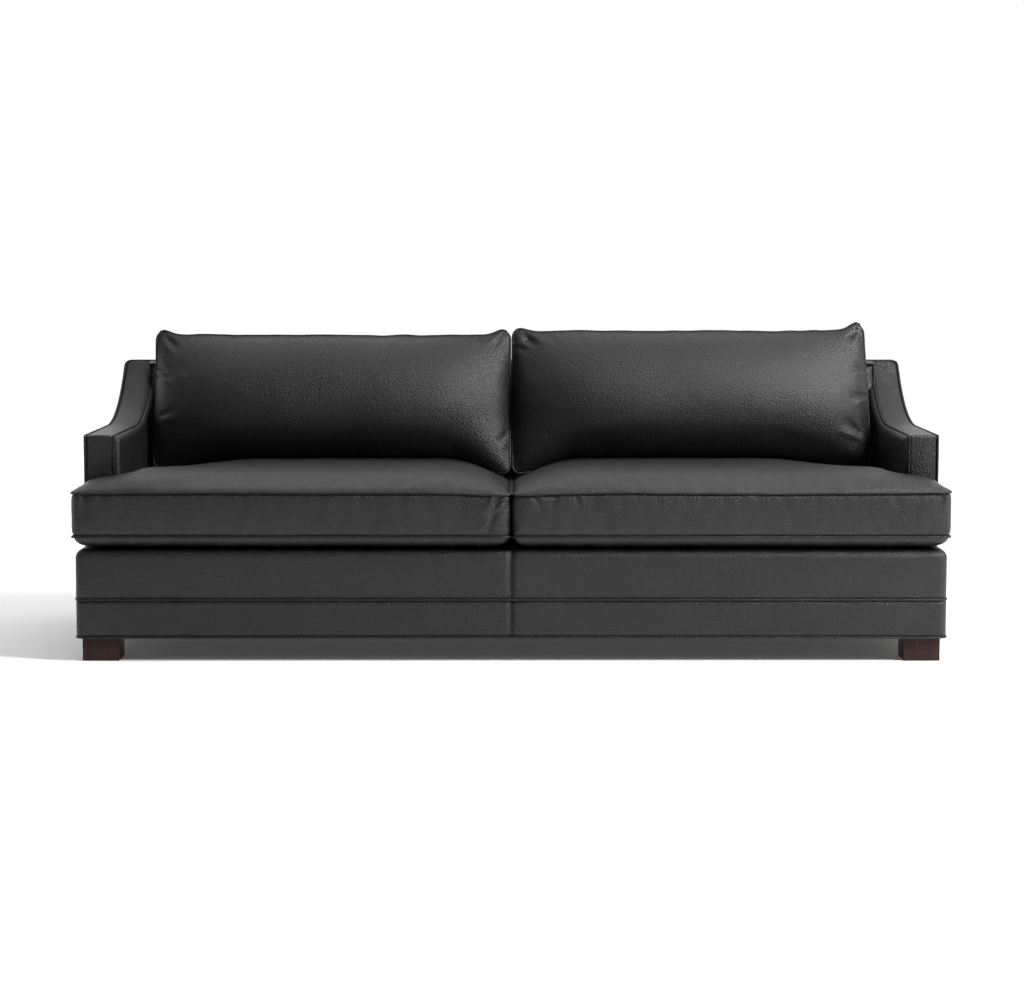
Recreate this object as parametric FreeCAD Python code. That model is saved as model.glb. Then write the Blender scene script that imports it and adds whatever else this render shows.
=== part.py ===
import FreeCAD, Part
import math
import os

V = FreeCAD.Vector

# Millimetres. X runs right as seen from the front, Y to the back, Z up.
# The origin is on the floor, under the middle of the sofa.

# Outside sizes
overall_width = 2440.0
overall_depth = 1002.0
seat_overhang = 12.0
wing_proud = 7.0
leg_height = 66.0
deck_height = 315.0
arm_height = 617.0
arm_width = 101.0
arm_setback = 204.0
slope_run = 387.0
slope_radius = 500.0
arm_corner = 8.0
base_corner = 26.0
middle_welt_height = 174.0
low_welt_lift = 2.0

# Leather with its wadding, and the cord sewn into the seams
skin = 4.0
welt_radius = 3.5
welt_sides = 6
step_error = 0.4
welt_inside = 1.2
welt_on_face = 0.4
corner_ease = 2.5
bend_room = 0.03
seam_gap = 0.6
clear = 0.3
arm_pad = 15.5
pad_drop = 1.0
pad_edge = 5.0
lip_gap = 3.0

# Wood
rail = 28.0
rail_top = 285.0
stretcher_top = 225.0
stretcher_spacing = 560.0
outer_ply = 18.0
inner_ply = 16.0
slat = 16.0
post = 25.0
foot_rail = 40.0
window_margin = 80.0
block_height = 44.0
block_side = 170.0
dust_cloth = 1.5
leg_side = 101.6
leg_inset = 17.0
leg_chamfer = 2.0
bolt_radius = 4.0
bolt_sides = 8
bolt_in_leg = 40.0
bolt_in_block = 34.0
bolt_end_gap = 0.5
bolt_clear = 0.1

# Back
back_rake = 14.0
back_depth = 178.0
back_pad = 18.0
webbing = 1.6
web_room = 2.0
web_width = 60.0
web_count = 5
top_rail_height = 72.0
top_fall = 8.0

# Seat suspension
spring_wire = 4.0
spring_height = 270.0
spring_count = 12
spring_turns = 9
spring_width = 52.0
clip_plate = 2.0
clip_width = 22.0
clip_leaf = 14.0
deck_side_gap = 2.0
deck_back_gap = 8.0
pad_foot_gap = 6.0

# Seat cushions
seat_gap = 5.0
seat_side_gap = 3.5
seat_arm_gap = 6.0
seat_back_gap = 5.0
seat_rest = 0.5
seat_welt_out = 1.3
seat_low_seam = 350.0
seat_high_seam = 473.0
seat_top = 516.0
seat_bulge = 6.0
boxing_ease = 0.9
boxing_share = 0.3
seat_crown_run = 72.0
soft_steps = 3
seat_corner = 18.0
cover = 3.0
zip_length = 620.0
zip_height = 30.0
zip_tape = 1.6
zip_coil = 5.0
zip_coil_proud = 1.6
zip_from_arm = 200.0
slider_length = 14.0
slider_wall = 2.0
slider_end = 8.0
tab_length = 27.0
tab_width = 6.0
tab_plate = 1.2

# Back cushions
cushion_gap = 17.0
cushion_side_gap = 16.0
cushion_half = 122.0
cushion_height = 384.0
cushion_ear = 18.0
hollow_ratio = 0.1
hollow_steps = 6
cushion_edge_angle = 32.0
cushion_run = 170.0
cushion_corner = 26.0
cushion_rest = 0.8
cushion_back_gap = 3.0

# Positions that follow from the sizes
far = overall_width
base_half = overall_width / 2 - wing_proud
base_front = seat_overhang - overall_depth / 2
back_plane = overall_depth / 2 - welt_radius + welt_on_face
wood_low = leg_height
low_welt_z = wood_low + low_welt_lift
wood_front = base_front + skin
wood_back = back_plane - skin
wood_side = base_half - skin
panel_in = wood_side - outer_ply
rail_in = panel_in - rail
arm_front = base_front + arm_setback
arm_inner = base_half - arm_width
slope_start = back_plane - slope_run
slope_centre = arm_height + slope_radius
welt_x = arm_inner + arm_pad + welt_radius
pad_x = welt_x - welt_radius
strip_in = welt_x + welt_radius
strip_out = base_half - welt_on_face - welt_radius
welt_out = welt_radius - welt_inside + clear
inner_panel_out = strip_in + inner_ply
back_start = back_plane - back_depth
frame_depth = back_pad + web_room
pad_foot = rail_top + pad_foot_gap
lean = math.radians(back_rake)
spring_top = spring_height + spring_wire / 2
sit_z = deck_height + seat_rest


def box(x0, x1, y0, y1, z0, z1):
    return Part.makeBox(x1 - x0, y1 - y0, z1 - z0, V(x0, y0, z0))


def mirrored(shape):
    return shape.mirror(V(0, 0, 0), V(1, 0, 0))


def prism(points, x0, x1):
    # Carries a closed outline of (y, z) points from x0 to x1.
    corners = [V(x0, y, z) for y, z in points]
    face = Part.Face(Part.makePolygon(corners + corners[:1]))
    return face.extrude(V(x1 - x0, 0, 0))


def rounded(points, radii, closed):
    # Corner points turned into short straight steps round an arc, so that soft forms keep few facets.
    count = len(points)
    path = []
    for i in range(count):
        here = points[i]
        if radii[i] == 0:
            path.append(here)
            continue
        before = (points[i - 1] - here).normalize()
        after = (points[(i + 1) % count] - here).normalize()
        half = before.getAngle(after) / 2
        inward = (before + after).normalize()
        centre = here + inward * (radii[i] / math.sin(half))
        start = here + before * (radii[i] / math.tan(half)) - centre
        axis = before.cross(after)
        sweep = math.pi - 2 * half
        steps = math.ceil(sweep / 2 / math.acos(1 - step_error / radii[i]))
        for k in range(steps + 1):
            turn = FreeCAD.Rotation(axis, -math.degrees(sweep) * k / steps)
            path.append(centre + turn.multVec(start))
    return path + path[:1] if closed else path


def welt(path):
    # A cord with flat sides, swept along straight steps.
    start = path[0]
    along = (path[1] - start).normalize()
    up = V(0, 0, 1) if abs(along.z) < 0.9 else V(0, 1, 0)
    side = along.cross(up).normalize()
    rise = side.cross(along).normalize()
    ring = []
    for i in range(welt_sides):
        turn = math.radians(360.0 / welt_sides * (i + 0.5))
        across = side * (welt_radius * math.cos(turn))
        ring.append(start + across + rise * (welt_radius * math.sin(turn)))
    outline = Part.makePolygon(ring + ring[:1])
    return Part.makePolygon(path).makePipeShell([outline], True, False, 1)


def layered(rings):
    # A solid through a stack of outlines whose edges run parallel, so that every side is a flat face.
    faces = [Part.Face(Part.makePolygon(rings[0])), Part.Face(Part.makePolygon(rings[-1]))]
    for low, high in zip(rings, rings[1:]):
        for a, b, c, d in zip(low, low[1:], high[1:], high):
            faces.append(Part.Face(Part.makePolygon([a, b, c, d, a])))
    shell = Part.makeShell(faces)
    shell.sewShape()
    body = Part.Solid(shell)
    return body if body.Volume > 0 else body.reversed()


def rod(radius, height, foot):
    # An upright rod with flat sides.
    ring = []
    for i in range(bolt_sides):
        turn = 2 * math.pi * i / bolt_sides
        ring.append(foot + V(radius * math.cos(turn), radius * math.sin(turn), 0))
    return Part.Face(Part.makePolygon(ring + ring[:1])).extrude(V(0, 0, height))


def slope_z(y, inset):
    # Height of the arm's curved top, drawn in by inset.
    return slope_centre - math.sqrt((slope_radius + inset) ** 2 - (y - slope_start) ** 2)


def back_y(z, depth):
    # The raked inside of the back at height z, or a plane that far behind it.
    return back_start + (z - deck_height) * math.tan(lean) + depth / math.cos(lean)


def slope_corner(inset, angle):
    # Where the arm's level top would meet the straight line that leaves the curve at this angle.
    return slope_start + (slope_radius + inset) * math.tan(angle / 2)


# Where the outer welt leaves the arm's curve and turns along the back
rear_welt_y = back_plane - welt_inside
rear_angle = math.asin((rear_welt_y - slope_start) / (slope_radius + welt_inside)) - bend_room
rear_corner = slope_corner(welt_inside, rear_angle)
rear_welt_z = arm_height - welt_inside + (rear_welt_y - rear_corner) * math.tan(rear_angle)
back_top = rear_welt_z + welt_inside
back_lip = back_top - top_fall


def back_slab(near, deep, z0, z1, x0, x1):
    # Part of the back between two depths behind its raked front.
    front = [(back_y(z0, near), z0), (back_y(z1, near), z1)]
    rear = [(back_y(z1, deep), z1), (back_y(z0, deep), z0)]
    return prism(front + rear, x0, x1)


def behind(depth, x0, x1):
    # Everything behind a raked plane.
    points = [(back_y(0, depth), 0), (back_y(far, depth), far), (2 * far, far), (2 * far, 0)]
    return prism(points, x0, x1)


def arm_solid(inset, x0, x1, y_end, z_low):
    # The arm seen from the side, drawn in by inset at the front and along the top.
    front = arm_front + inset
    top = arm_height - inset
    corner = max(arm_corner - inset, 1.0)
    bend = corner * (1 - math.sqrt(0.5))
    middle = (slope_start + y_end) / 2
    a = V(x0, front, z_low)
    b = V(x0, front, top - corner)
    c = V(x0, front + corner, top)
    d = V(x0, slope_start, top)
    e = V(x0, y_end, slope_z(y_end, inset))
    f = V(x0, y_end, z_low)
    edges = [
        Part.makeLine(a, b),
        Part.Arc(b, V(x0, front + bend, top - bend), c).toShape(),
        Part.makeLine(c, d),
        Part.Arc(d, V(x0, middle, slope_z(middle, inset)), e).toShape(),
        Part.makeLine(e, f),
        Part.makeLine(f, a),
    ]
    return Part.Face(Part.Wire(edges)).extrude(V(x1 - x0, 0, 0))


def base_block(inset, y_end, z0, z1, round_top):
    # The base drawn in by inset, with its front corners rounded, and its top edges too if asked.
    half = base_half - inset
    front = base_front + inset
    block = box(-half, half, front, y_end, z0, z1)
    edges = []
    for edge in block.Edges:
        centre = edge.BoundBox.Center
        upright = edge.BoundBox.ZLength > 1
        at_front = abs(centre.y - front) < 1
        at_top = abs(centre.z - z1) < 1
        at_end = abs(centre.y - y_end) < 1
        if upright and at_front:
            edges.append(edge)
        if round_top and at_top and not at_end:
            edges.append(edge)
    return block.makeFillet(base_corner - inset, edges)


def halves(shape):
    # Splits a cover at the centre seam.
    cut = seam_gap / 2
    left = shape.common(box(-far, -cut, -far, far, 0, far))
    right = shape.common(box(cut, far, -far, far, 0, far))
    return left, right


def make_front_covers():
    low = middle_welt_height + welt_radius
    end = arm_front - welt_out
    outer = base_block(0, end, low, deck_height, True)
    inner = base_block(skin, arm_front, wood_low, deck_height - skin, True)
    shell = outer.cut(inner)
    open_deck = box(-arm_inner, arm_inner, wood_front + rail + slat, arm_front, low, far)
    return halves(shell.cut(open_deck))


def make_base_bands():
    low = low_welt_z + welt_radius
    high = middle_welt_height - welt_radius
    outer = base_block(0, wood_back, low, high, False)
    inner = base_block(skin, back_plane, wood_low, deck_height, False)
    return halves(outer.cut(inner))


def make_base_welts():
    side = base_half - welt_on_face
    front = base_front + welt_on_face
    bend = base_corner - welt_on_face - corner_ease
    end = wood_back
    z = middle_welt_height
    middle = [V(-side, end, z), V(-side, front, z), V(side, front, z), V(side, end, z)]
    z = low_welt_z
    end = back_plane - welt_on_face
    small = welt_radius + clear
    start = V(0, front, z)
    low = [start, V(side, front, z), V(side, end, z), V(-side, end, z), V(-side, front, z)]
    upper = welt(rounded(middle, [0, bend, bend, 0], False))
    lower = welt(rounded(low, [0, bend, small, small, bend], True))
    return Part.makeCompound([upper, lower])


def make_edge_roll():
    top = deck_height - skin
    body = base_block(skin, arm_front - welt_out, wood_low, top, True)
    body = body.common(box(-far, far, -far, far, rail_top, far))
    inside = box(-arm_inner, arm_inner, wood_front + rail + slat, arm_front, 0, far)
    return body.cut(inside)


def make_deck():
    front = wood_front + rail + slat + clear
    half = arm_inner - deck_side_gap
    return box(-half, half, front, back_start - deck_back_gap, spring_top + seam_gap, deck_height)


def make_stretchers():
    boards = []
    for x in (-stretcher_spacing, 0, stretcher_spacing):
        board = box(x - rail / 2, x + rail / 2, wood_front + rail, wood_back - rail, wood_low, stretcher_top)
        boards.append(board)
    return Part.makeCompound(boards)


def make_spring_rail():
    y = back_y(rail_top, frame_depth)
    return box(-rail_in, rail_in, y, y + rail, stretcher_top, rail_top)


def leg_centres():
    x = base_half - leg_inset - leg_side / 2
    front = base_front + leg_inset + leg_side / 2
    back = back_plane - leg_inset - leg_side / 2
    return [(-x, front), (x, front), (-x, back), (x, back)]


def make_leg(x, y):
    half = leg_side / 2
    body = box(x - half, x + half, y - half, y + half, 0, wood_low)
    edges = []
    for edge in body.Edges:
        if edge.BoundBox.ZLength > 1 or edge.BoundBox.ZMax < 1:
            edges.append(edge)
    body = body.makeChamfer(leg_chamfer, edges)
    hole = rod(bolt_radius + bolt_clear, far, V(x, y, wood_low - bolt_in_leg))
    return body.cut(hole)


def make_bolts():
    length = bolt_in_leg + bolt_in_block - 2 * bolt_end_gap
    low = wood_low - bolt_in_leg + bolt_end_gap
    bolts = [rod(bolt_radius, length, V(x, y, low)) for x, y in leg_centres()]
    return Part.makeCompound(bolts)


def make_corner_blocks():
    blocks = []
    for x, y in leg_centres():
        sx = math.copysign(1, x)
        sy = math.copysign(1, y)
        cx = sx * rail_in
        cy = wood_front + rail if y < 0 else wood_back - rail
        points = [V(cx, cy, wood_low)]
        points.append(V(cx - sx * block_side, cy, wood_low))
        points.append(V(cx, cy - sy * block_side, wood_low))
        body = Part.Face(Part.makePolygon(points + points[:1])).extrude(V(0, 0, block_height))
        hole = rod(bolt_radius + bolt_clear, far, V(x, y, 0))
        blocks.append(body.cut(hole))
    return Part.makeCompound(blocks)


def make_dust_cover():
    gap = 5.0
    z = wood_low - dust_cloth
    sheet = box(-wood_side + gap, wood_side - gap, wood_front + gap, wood_back - gap, z, wood_low)
    half = leg_side / 2 + seam_gap
    for x, y in leg_centres():
        sheet = sheet.cut(box(x - half, x + half, y - half, y + half, 0, far))
    return sheet


def make_springs():
    front = wood_front + rail + clip_plate
    back = back_y(rail_top, frame_depth) - clip_plate
    pitch = (back - front) / spring_turns
    reach = spring_width / 2
    points = [V(0, front, spring_height)]
    for i in range(spring_turns):
        y = front + pitch * (i + 0.5)
        side = reach if i % 2 else -reach
        points.append(V(side, y - pitch * 0.3, spring_height))
        points.append(V(side, y + pitch * 0.3, spring_height))
    points.append(V(0, back, spring_height))
    path = Part.makePolygon(points)
    half = spring_wire / 2
    across = (points[1] - points[0]).cross(V(0, 0, 1)).normalize()
    ring = []
    for a, b in ((-half, -half), (half, -half), (half, half), (-half, half)):
        ring.append(points[0] + across * a + V(0, 0, b))
    one = path.makePipeShell([Part.makePolygon(ring + ring[:1])], True, False, 1)
    spacing = 2 * rail_in / spring_count
    springs = []
    clips = []
    for i in range(spring_count):
        x = (i + 0.5 - spring_count / 2) * spacing
        springs.append(one.translated(V(x, 0, 0)))
        clips.append(make_clip(x, front - clip_plate, 1))
        clips.append(make_clip(x, back + clip_plate, -1))
    return Part.makeCompound(springs), Part.makeCompound(clips)


def make_clip(x, y, way):
    # A folded plate on the rail with a lip that the wire's end sits on.
    top = spring_height - spring_wire / 2
    low = top - clip_plate
    edge = y + way * clip_plate
    lip = y + way * clip_leaf
    foot = low - clip_leaf
    points = [(y, foot), (edge, foot), (edge, low), (lip, low), (lip, top), (y, top)]
    return prism(points[::way], x - clip_width / 2, x + clip_width / 2)


def make_arm_frame():
    # Right arm: outer panel, inner panel, and the front post, bottom rail and top slat between them.
    window = box(
        0,
        far,
        arm_front + window_margin,
        slope_start + window_margin,
        rail_top + window_margin,
        arm_height - window_margin,
    )
    outer = arm_solid(skin, panel_in, wood_side, wood_back, wood_low)
    toe = box(panel_in, wood_side, wood_front + rail, arm_front + skin, wood_low, rail_top)
    outer = outer.fuse(toe).removeSplitter().cut(window)
    inner = arm_solid(skin, strip_in, inner_panel_out, wood_back, pad_foot)
    inner = inner.cut(behind(-clear, 0, far)).cut(window)
    post_back = arm_front + skin + post
    block = arm_solid(skin, inner_panel_out, panel_in, wood_back, rail_top)
    front_post = block.common(box(0, far, -far, post_back, 0, far))
    under = arm_solid(skin + slat, 0, far, back_plane, 0)
    top_slat = block.cut(under).common(box(0, far, post_back, wood_back, 0, far))
    foot = box(inner_panel_out, panel_in, post_back, back_start, rail_top, rail_top + foot_rail)
    spacers = Part.makeCompound([front_post, foot, top_slat])
    return outer, inner, spacers


def make_back_post():
    body = arm_solid(skin + slat, inner_panel_out, panel_in, wood_back, rail_top)
    return body.common(behind(frame_depth, 0, far))


def strip_z(y):
    # Outer face of the strip along the top of the back, falling to the front.
    front = back_y(back_lip, 0)
    return back_lip + (y - front) * top_fall / (back_plane - front)


def make_top_rail():
    low = back_lip - top_rail_height
    points = [
        (back_y(low, frame_depth), low),
        (back_y(back_lip - skin, frame_depth), back_lip - skin),
        (wood_back, strip_z(wood_back) - skin),
        (wood_back, low),
    ]
    middle = strip_in - skin - clear
    body = prism(points, -middle, middle)
    for side in (-1, 1):
        x0 = min(side * middle, side * inner_panel_out)
        end = prism(points, x0, x0 + inner_panel_out - middle)
        lower = arm_solid(skin + lip_gap, x0, x0 + inner_panel_out - middle, wood_back, 0)
        body = body.fuse(end.common(lower))
    return body.removeSplitter()


def make_centre_post():
    low = rail_top
    high = back_lip - top_rail_height
    points = [(back_y(low, frame_depth), low), (back_y(high, frame_depth), high)]
    points += [(wood_back, high), (wood_back, low)]
    return prism(points, -rail / 2, rail / 2)


def make_webbing():
    low = pad_foot + web_width
    high = back_lip - top_rail_height - web_width
    step = (high - low) / (web_count - 1)
    near = back_pad + (web_room - webbing) / 2
    reach = panel_in - seam_gap
    straps = []
    for i in range(web_count):
        z = low + i * step
        straps.append(back_slab(near, near + webbing, z - web_width / 2, z + web_width / 2, -reach, reach))
    return Part.makeCompound(straps)


def make_back_covers():
    top = back_lip - welt_inside - welt_radius - lip_gap
    inside = back_slab(0, back_pad, pad_foot, top, -pad_x, pad_x)
    low = low_welt_z + welt_radius
    high = rear_welt_z - welt_radius - clear
    outside = box(-base_half, base_half, wood_back, back_plane, low, high)
    nick = 3 * welt_radius
    for x in (-base_half, base_half - nick):
        outside = outside.cut(box(x, x + nick, wood_back, back_plane, high - nick, high))
    front = back_y(back_lip, 0) + welt_inside + welt_radius + 2 * seam_gap
    end = back_plane - welt_inside - welt_radius
    reach = strip_in - clear
    high_front = strip_z(front)
    high_end = strip_z(end)
    points = [(front, high_front), (end, high_end), (end, high_end - skin), (front, high_front - skin)]
    strip = prism(points, -reach, reach)
    low_front = slope_z(front, skin)
    low_end = slope_z(end, skin)
    flap = [(front, high_front), (end, high_end), (end, low_end), (front, low_front)]
    for x in (-reach, reach - skin):
        strip = strip.fuse(prism(flap, x, x + skin))
    return inside, outside, strip.removeSplitter()


def make_arm_covers():
    # Right arm: padded inner cover, outer cover, and the strip that runs up the front and over the top.
    low = pad_foot
    pad = arm_solid(pad_drop, arm_inner, pad_x, back_plane, low)
    edges = []
    for edge in pad.Edges:
        inner_side = edge.BoundBox.XMax < arm_inner + 0.01
        at_back = edge.BoundBox.YMin > back_plane - 0.01
        at_foot = edge.BoundBox.ZMax < low + 0.01
        if inner_side and not at_back and not at_foot:
            edges.append(edge)
    pad = pad.makeChamfer(pad_edge, edges)
    seat = arm_solid(welt_inside + welt_radius + clear, pad_x, strip_in, back_plane, low)
    inner = pad.fuse(seat).removeSplitter().cut(behind(-clear, 0, far))
    edge_low = welt_inside + welt_radius
    outer = arm_solid(edge_low, wood_side, base_half, wood_back, middle_welt_height + welt_radius)
    strip = arm_solid(0, strip_in, strip_out, wood_back - lip_gap, rail_top + seam_gap)
    strip = strip.cut(arm_solid(skin, 0, far, back_plane, 0))
    return inner, outer, strip


def make_frame_welts():
    front = arm_front + welt_inside
    top = arm_height - welt_inside
    bend = arm_corner - welt_inside
    radius = slope_radius + welt_inside
    foot = deck_height + clear

    # Inner welt: up the arm, over the curve, up the edge of the back and along its top.
    low = arm_height
    high = back_lip
    for _ in range(40):
        z = (low + high) / 2
        y = back_y(z, welt_inside)
        low, high = (low, z) if slope_z(y, welt_inside) < z else (z, high)
    angle = math.asin((y - slope_start) / radius) - bend_room
    corner = slope_corner(welt_inside, angle)
    run = (back_y(top, welt_inside) - corner) / (math.cos(angle) - math.sin(angle) * math.tan(lean))
    turn = V(welt_x, corner + run * math.cos(angle), top + run * math.sin(angle))
    head = back_lip - welt_inside
    side = [
        V(welt_x, front, foot),
        V(welt_x, front, top),
        V(welt_x, corner, top),
        turn,
        V(welt_x, back_y(head, welt_inside), head),
    ]
    bends = [0, bend, radius, 5, 5]
    other = [V(-p.x, p.y, p.z) for p in reversed(side)]
    inner = welt(rounded(side + other, bends + bends[::-1], False))

    # Outer welt: the same round the outside of the arms, then along the back.
    x = base_half - welt_on_face
    foot = middle_welt_height + welt_radius + clear
    end = V(x, rear_welt_y, rear_welt_z)
    side = [V(x, front, foot), V(x, front, top), V(x, rear_corner, top), end]
    bends = [0, bend, radius, 5]
    other = [V(-p.x, p.y, p.z) for p in reversed(side)]
    outer = welt(rounded(side + other, bends + bends[::-1], False))
    return inner, outer


def seat_outline(inset, z):
    # Right seat cushion seen from above: the part between the arms and the wing in front of the arm.
    x_in = seat_gap / 2 + inset
    x_arm = arm_inner - seat_side_gap - inset
    x_out = overall_width / 2 - seat_welt_out - inset
    y_front = seat_welt_out - overall_depth / 2 + inset
    y_notch = arm_front - seat_arm_gap - inset
    y_back = back_start - seat_back_gap - inset
    points = [
        V(x_in, y_front, z),
        V(x_out, y_front, z),
        V(x_out, y_notch, z),
        V(x_arm, y_notch, z),
        V(x_arm, y_back, z),
        V(x_in, y_back, z),
    ]
    return rounded(points, [seat_corner] * len(points), True)


def soft_edge(run, rise, start):
    # Steps round an ellipse from a seam to the flat of a cushion; start is the angle it leaves the seam at.
    first = math.radians(start)
    steps = []
    for i in range(soft_steps + 1):
        turn = first + (math.pi / 2 - first) * i / soft_steps
        inward = run * (math.cos(first) - math.cos(turn)) / math.cos(first)
        steps.append((inward, rise * (math.sin(turn) - math.sin(first)) / (1 - math.sin(first))))
    return steps


def seat_block(inset):
    # The right seat cushion drawn in by inset: belly, boxing and crown.
    run = seat_crown_run - seat_bulge
    belly = soft_edge(run, seat_low_seam - sit_z - inset, 0)
    crown = soft_edge(run, seat_top - inset - seat_high_seam, 0)
    levels = [(seat_bulge + a, seat_low_seam - b) for a, b in reversed(belly)]
    height = seat_high_seam - seat_low_seam
    levels.append((boxing_ease, seat_low_seam + height * boxing_share))
    levels.append((boxing_ease, seat_high_seam - height * boxing_share))
    levels += [(seat_bulge + a, seat_high_seam + b) for a, b in crown]
    return layered([seat_outline(inset + a, z) for a, z in levels])


def make_seat_cushion():
    shell = seat_block(0).cut(seat_block(cover))
    core = seat_block(cover + clear)
    out = seat_bulge - 2 * clear - welt_radius
    welts = [welt(seat_outline(out, z)) for z in (seat_low_seam, seat_high_seam)]
    return shell, core, Part.makeCompound(welts)


def make_zip():
    # Tape and coil on the back boxing of the right seat cushion, and its slider at the arm end.
    y = back_start - seat_back_gap + clear
    z = (seat_low_seam + seat_high_seam) / 2
    x1 = arm_inner - zip_from_arm
    x0 = x1 - zip_length
    tape = y + zip_tape
    coil = tape + zip_coil_proud
    half = zip_height / 2
    bead = zip_coil / 2
    section = [
        (y, z - half),
        (tape, z - half),
        (tape, z - bead),
        (coil, z - bead * 0.6),
        (coil, z + bead * 0.6),
        (tape, z + bead),
        (tape, z + half),
        (y, z + half),
    ]
    strip = prism(section, x0, x1)
    slot = bead + clear
    wall = slot + slider_wall
    near = tape + clear
    cap = coil + clear
    top = cap + slider_wall
    body = [
        (near, z - wall),
        (top, z - wall),
        (top, z + wall),
        (near, z + wall),
        (near, z + slot),
        (cap, z + slot),
        (cap, z - slot),
        (near, z - slot),
    ]
    end = x1 - slider_end
    middle = end - slider_length / 2
    slider = prism(body, end - slider_length, end)
    low = z + bead - tab_length
    flat = [(top, low), (top + tab_plate, low), (top + tab_plate, z + bead), (top, z + bead)]
    tab = prism(flat, middle - tab_width / 2, middle + tab_width / 2)
    return strip, slider.fuse(tab).removeSplitter()


def cushion_point(x, up, out):
    # A point of a back cushion: up along its raked middle plane, out towards the back.
    base = seat_top + welt_radius * 2 + cushion_rest
    y = back_y(base, -cushion_half - cushion_back_gap) + up * math.sin(lean) + out * math.cos(lean)
    return V(x, y, base + up * math.cos(lean) - out * math.sin(lean))


def cushion_outline(inset, out):
    # Right back cushion seen square on, drawn in by inset: ears at the top and a hollow between them.
    left = cushion_gap / 2 + inset
    right = arm_inner - cushion_side_gap - inset
    low = inset * 0.8
    ear = cushion_height + cushion_ear - inset
    points = [cushion_point(left, low, out), cushion_point(right, low, out)]
    bends = [cushion_corner, cushion_corner]
    for i in range(hollow_steps + 1):
        share = i / hollow_steps
        fall = hollow_ratio * (right - left) * share * (1 - share)
        points.append(cushion_point(right + (left - right) * share, ear - fall, out))
        bends.append(cushion_corner if share in (0, 1) else 0)
    return rounded(points, bends, True)


def back_block(inset):
    # The right back cushion drawn in by inset, from its front flat through the seam to its back flat.
    half = soft_edge(cushion_run, cushion_half - inset, cushion_edge_angle)
    levels = [(a, -b) for a, b in reversed(half)] + half[1:]
    return layered([cushion_outline(inset + a, b) for a, b in levels])


def make_back_cushion():
    shell = back_block(0).cut(back_block(cover))
    fill = back_block(cover + clear)
    cord = welt(cushion_outline(-welt_radius - clear, 0))
    return shell, fill, cord


def save(name, shape):
    shape.exportStep("parts/" + name + ".step")


def save_pair(name, right):
    save(name + "_right", right)
    save(name + "_left", mirrored(right))


def main():
    os.makedirs("parts", exist_ok=True)

    save("front_rail", base_block(skin, wood_front + rail, wood_low, rail_top, False))
    save("back_rail", box(-panel_in, panel_in, wood_back - rail, wood_back, wood_low, rail_top))
    save_pair("side_rail", box(rail_in, panel_in, wood_front + rail, wood_back - rail, wood_low, rail_top))
    save("seat_stretchers", make_stretchers())
    save("rear_spring_rail", make_spring_rail())
    save("corner_blocks", make_corner_blocks())
    save("dust_cover", make_dust_cover())

    names = ["front_leg_left", "front_leg_right", "back_leg_left", "back_leg_right"]
    for name, (x, y) in zip(names, leg_centres()):
        save(name, make_leg(x, y))
    save("leg_bolts", make_bolts())

    springs, clips = make_springs()
    save("seat_springs", springs)
    save("spring_clips", clips)
    save("seat_deck", make_deck())
    save("front_edge_roll", make_edge_roll())

    outer, inner, spacers = make_arm_frame()
    save_pair("arm_outer_panel", outer)
    save_pair("arm_inner_panel", inner)
    save_pair("arm_spacers", spacers)
    save_pair("back_post", make_back_post())
    save("back_center_post", make_centre_post())
    save("back_top_rail", make_top_rail())
    save("back_webbing", make_webbing())

    left, right = make_front_covers()
    save("front_cover_left", left)
    save("front_cover_right", right)
    left, right = make_base_bands()
    save("base_band_left", left)
    save("base_band_right", right)
    save("base_welts", make_base_welts())

    inner, outer, strip = make_arm_covers()
    save_pair("arm_inner_cover", inner)
    save_pair("arm_outer_cover", outer)
    save_pair("arm_boxing", strip)
    inner, outer = make_frame_welts()
    save("inner_frame_welt", inner)
    save("outer_frame_welt", outer)
    inside, outside, strip = make_back_covers()
    save("inside_back_cover", inside)
    save("outside_back_cover", outside)
    save("back_top_boxing", strip)

    shell, core, welts = make_seat_cushion()
    save_pair("seat_cushion_cover", shell)
    save_pair("seat_cushion_core", core)
    save_pair("seat_cushion_welts", welts)
    strip, slider = make_zip()
    save_pair("seat_zip", strip)
    save_pair("seat_zip_slider", slider)

    shell, fill, cord = make_back_cushion()
    save_pair("back_cushion_cover", shell)
    save_pair("back_cushion_fill", fill)
    save_pair("back_cushion_welt", cord)


main()
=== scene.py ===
import bpy
import math
import numpy as np
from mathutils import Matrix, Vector, noise
from mathutils.bvhtree import BVHTree
from mathutils.kdtree import KDTree


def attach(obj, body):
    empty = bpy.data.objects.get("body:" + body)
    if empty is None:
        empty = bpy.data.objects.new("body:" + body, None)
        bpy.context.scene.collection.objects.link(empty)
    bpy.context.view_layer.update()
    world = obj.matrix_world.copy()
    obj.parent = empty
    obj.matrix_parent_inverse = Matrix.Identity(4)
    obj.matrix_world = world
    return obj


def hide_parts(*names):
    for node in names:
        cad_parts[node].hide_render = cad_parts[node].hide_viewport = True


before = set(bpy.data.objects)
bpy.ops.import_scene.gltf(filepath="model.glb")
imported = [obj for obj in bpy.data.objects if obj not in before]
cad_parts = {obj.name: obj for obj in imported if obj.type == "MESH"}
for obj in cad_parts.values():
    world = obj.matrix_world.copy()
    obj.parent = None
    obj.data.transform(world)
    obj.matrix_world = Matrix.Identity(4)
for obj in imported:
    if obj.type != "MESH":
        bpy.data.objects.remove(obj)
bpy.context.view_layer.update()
scene = bpy.context.scene
print("frame loaded:", len(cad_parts), "nodes")

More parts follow.
